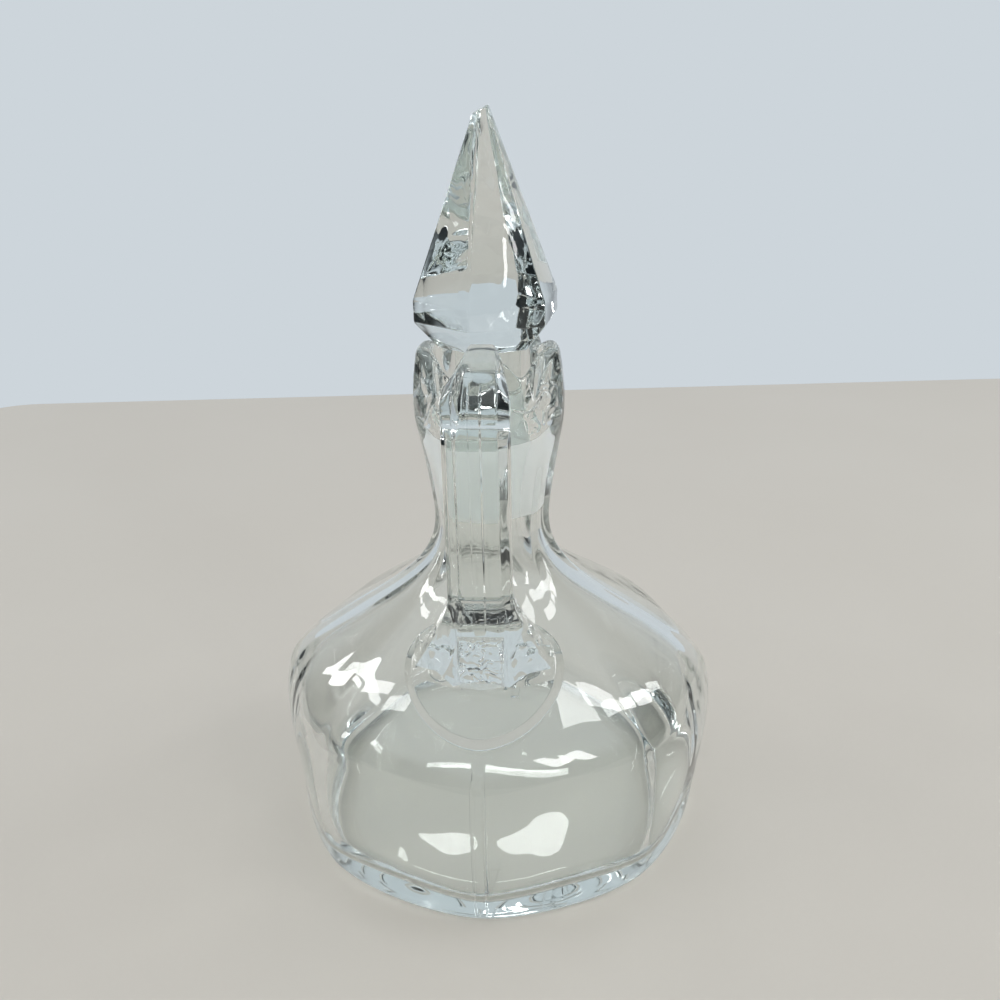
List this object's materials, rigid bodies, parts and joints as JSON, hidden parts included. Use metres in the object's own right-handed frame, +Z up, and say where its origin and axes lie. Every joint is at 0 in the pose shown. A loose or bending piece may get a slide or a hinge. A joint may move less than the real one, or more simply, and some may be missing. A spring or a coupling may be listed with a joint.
{
  "type": "decanter",
  "caption": "Squat panelled colourless glass decanter with a narrow neck, shaped pouring lip, flat-sided loop handle on a round pad, and a pointed six-sided stopper with a ground plug",
  "frame": {"origin": "middle of the flat ground underside, on the bottle's axis", "axes": "+Z up along the bottle's axis; the handle stands toward -Y and the pouring spout toward +Y; +X to the right when the handle faces the viewer"},
  "size_m": [0.1146, 0.1146, 0.178],
  "materials": {
    "bottle_glass": "fire-polished, faintly wavy, with a frosted ground bore in the neck",
    "handle_glass": "fire-polished, with a chill-wrinkled patch at the foot",
    "stopper_glass": "fire-polished facets, with a frosted ground plug"
  },
  "bodies": {
    "bottle": {"bottle_body": "bottle_glass", "handle": "handle_glass"},
    "stopper": {"stopper": "stopper_glass"}
  },
  "joints": [
    {"name": "stopper_lift", "type": "slide", "parent": "bottle", "child": "stopper", "axis": [0, 0, 1], "range_m": [0, 0.06]}
  ]
}
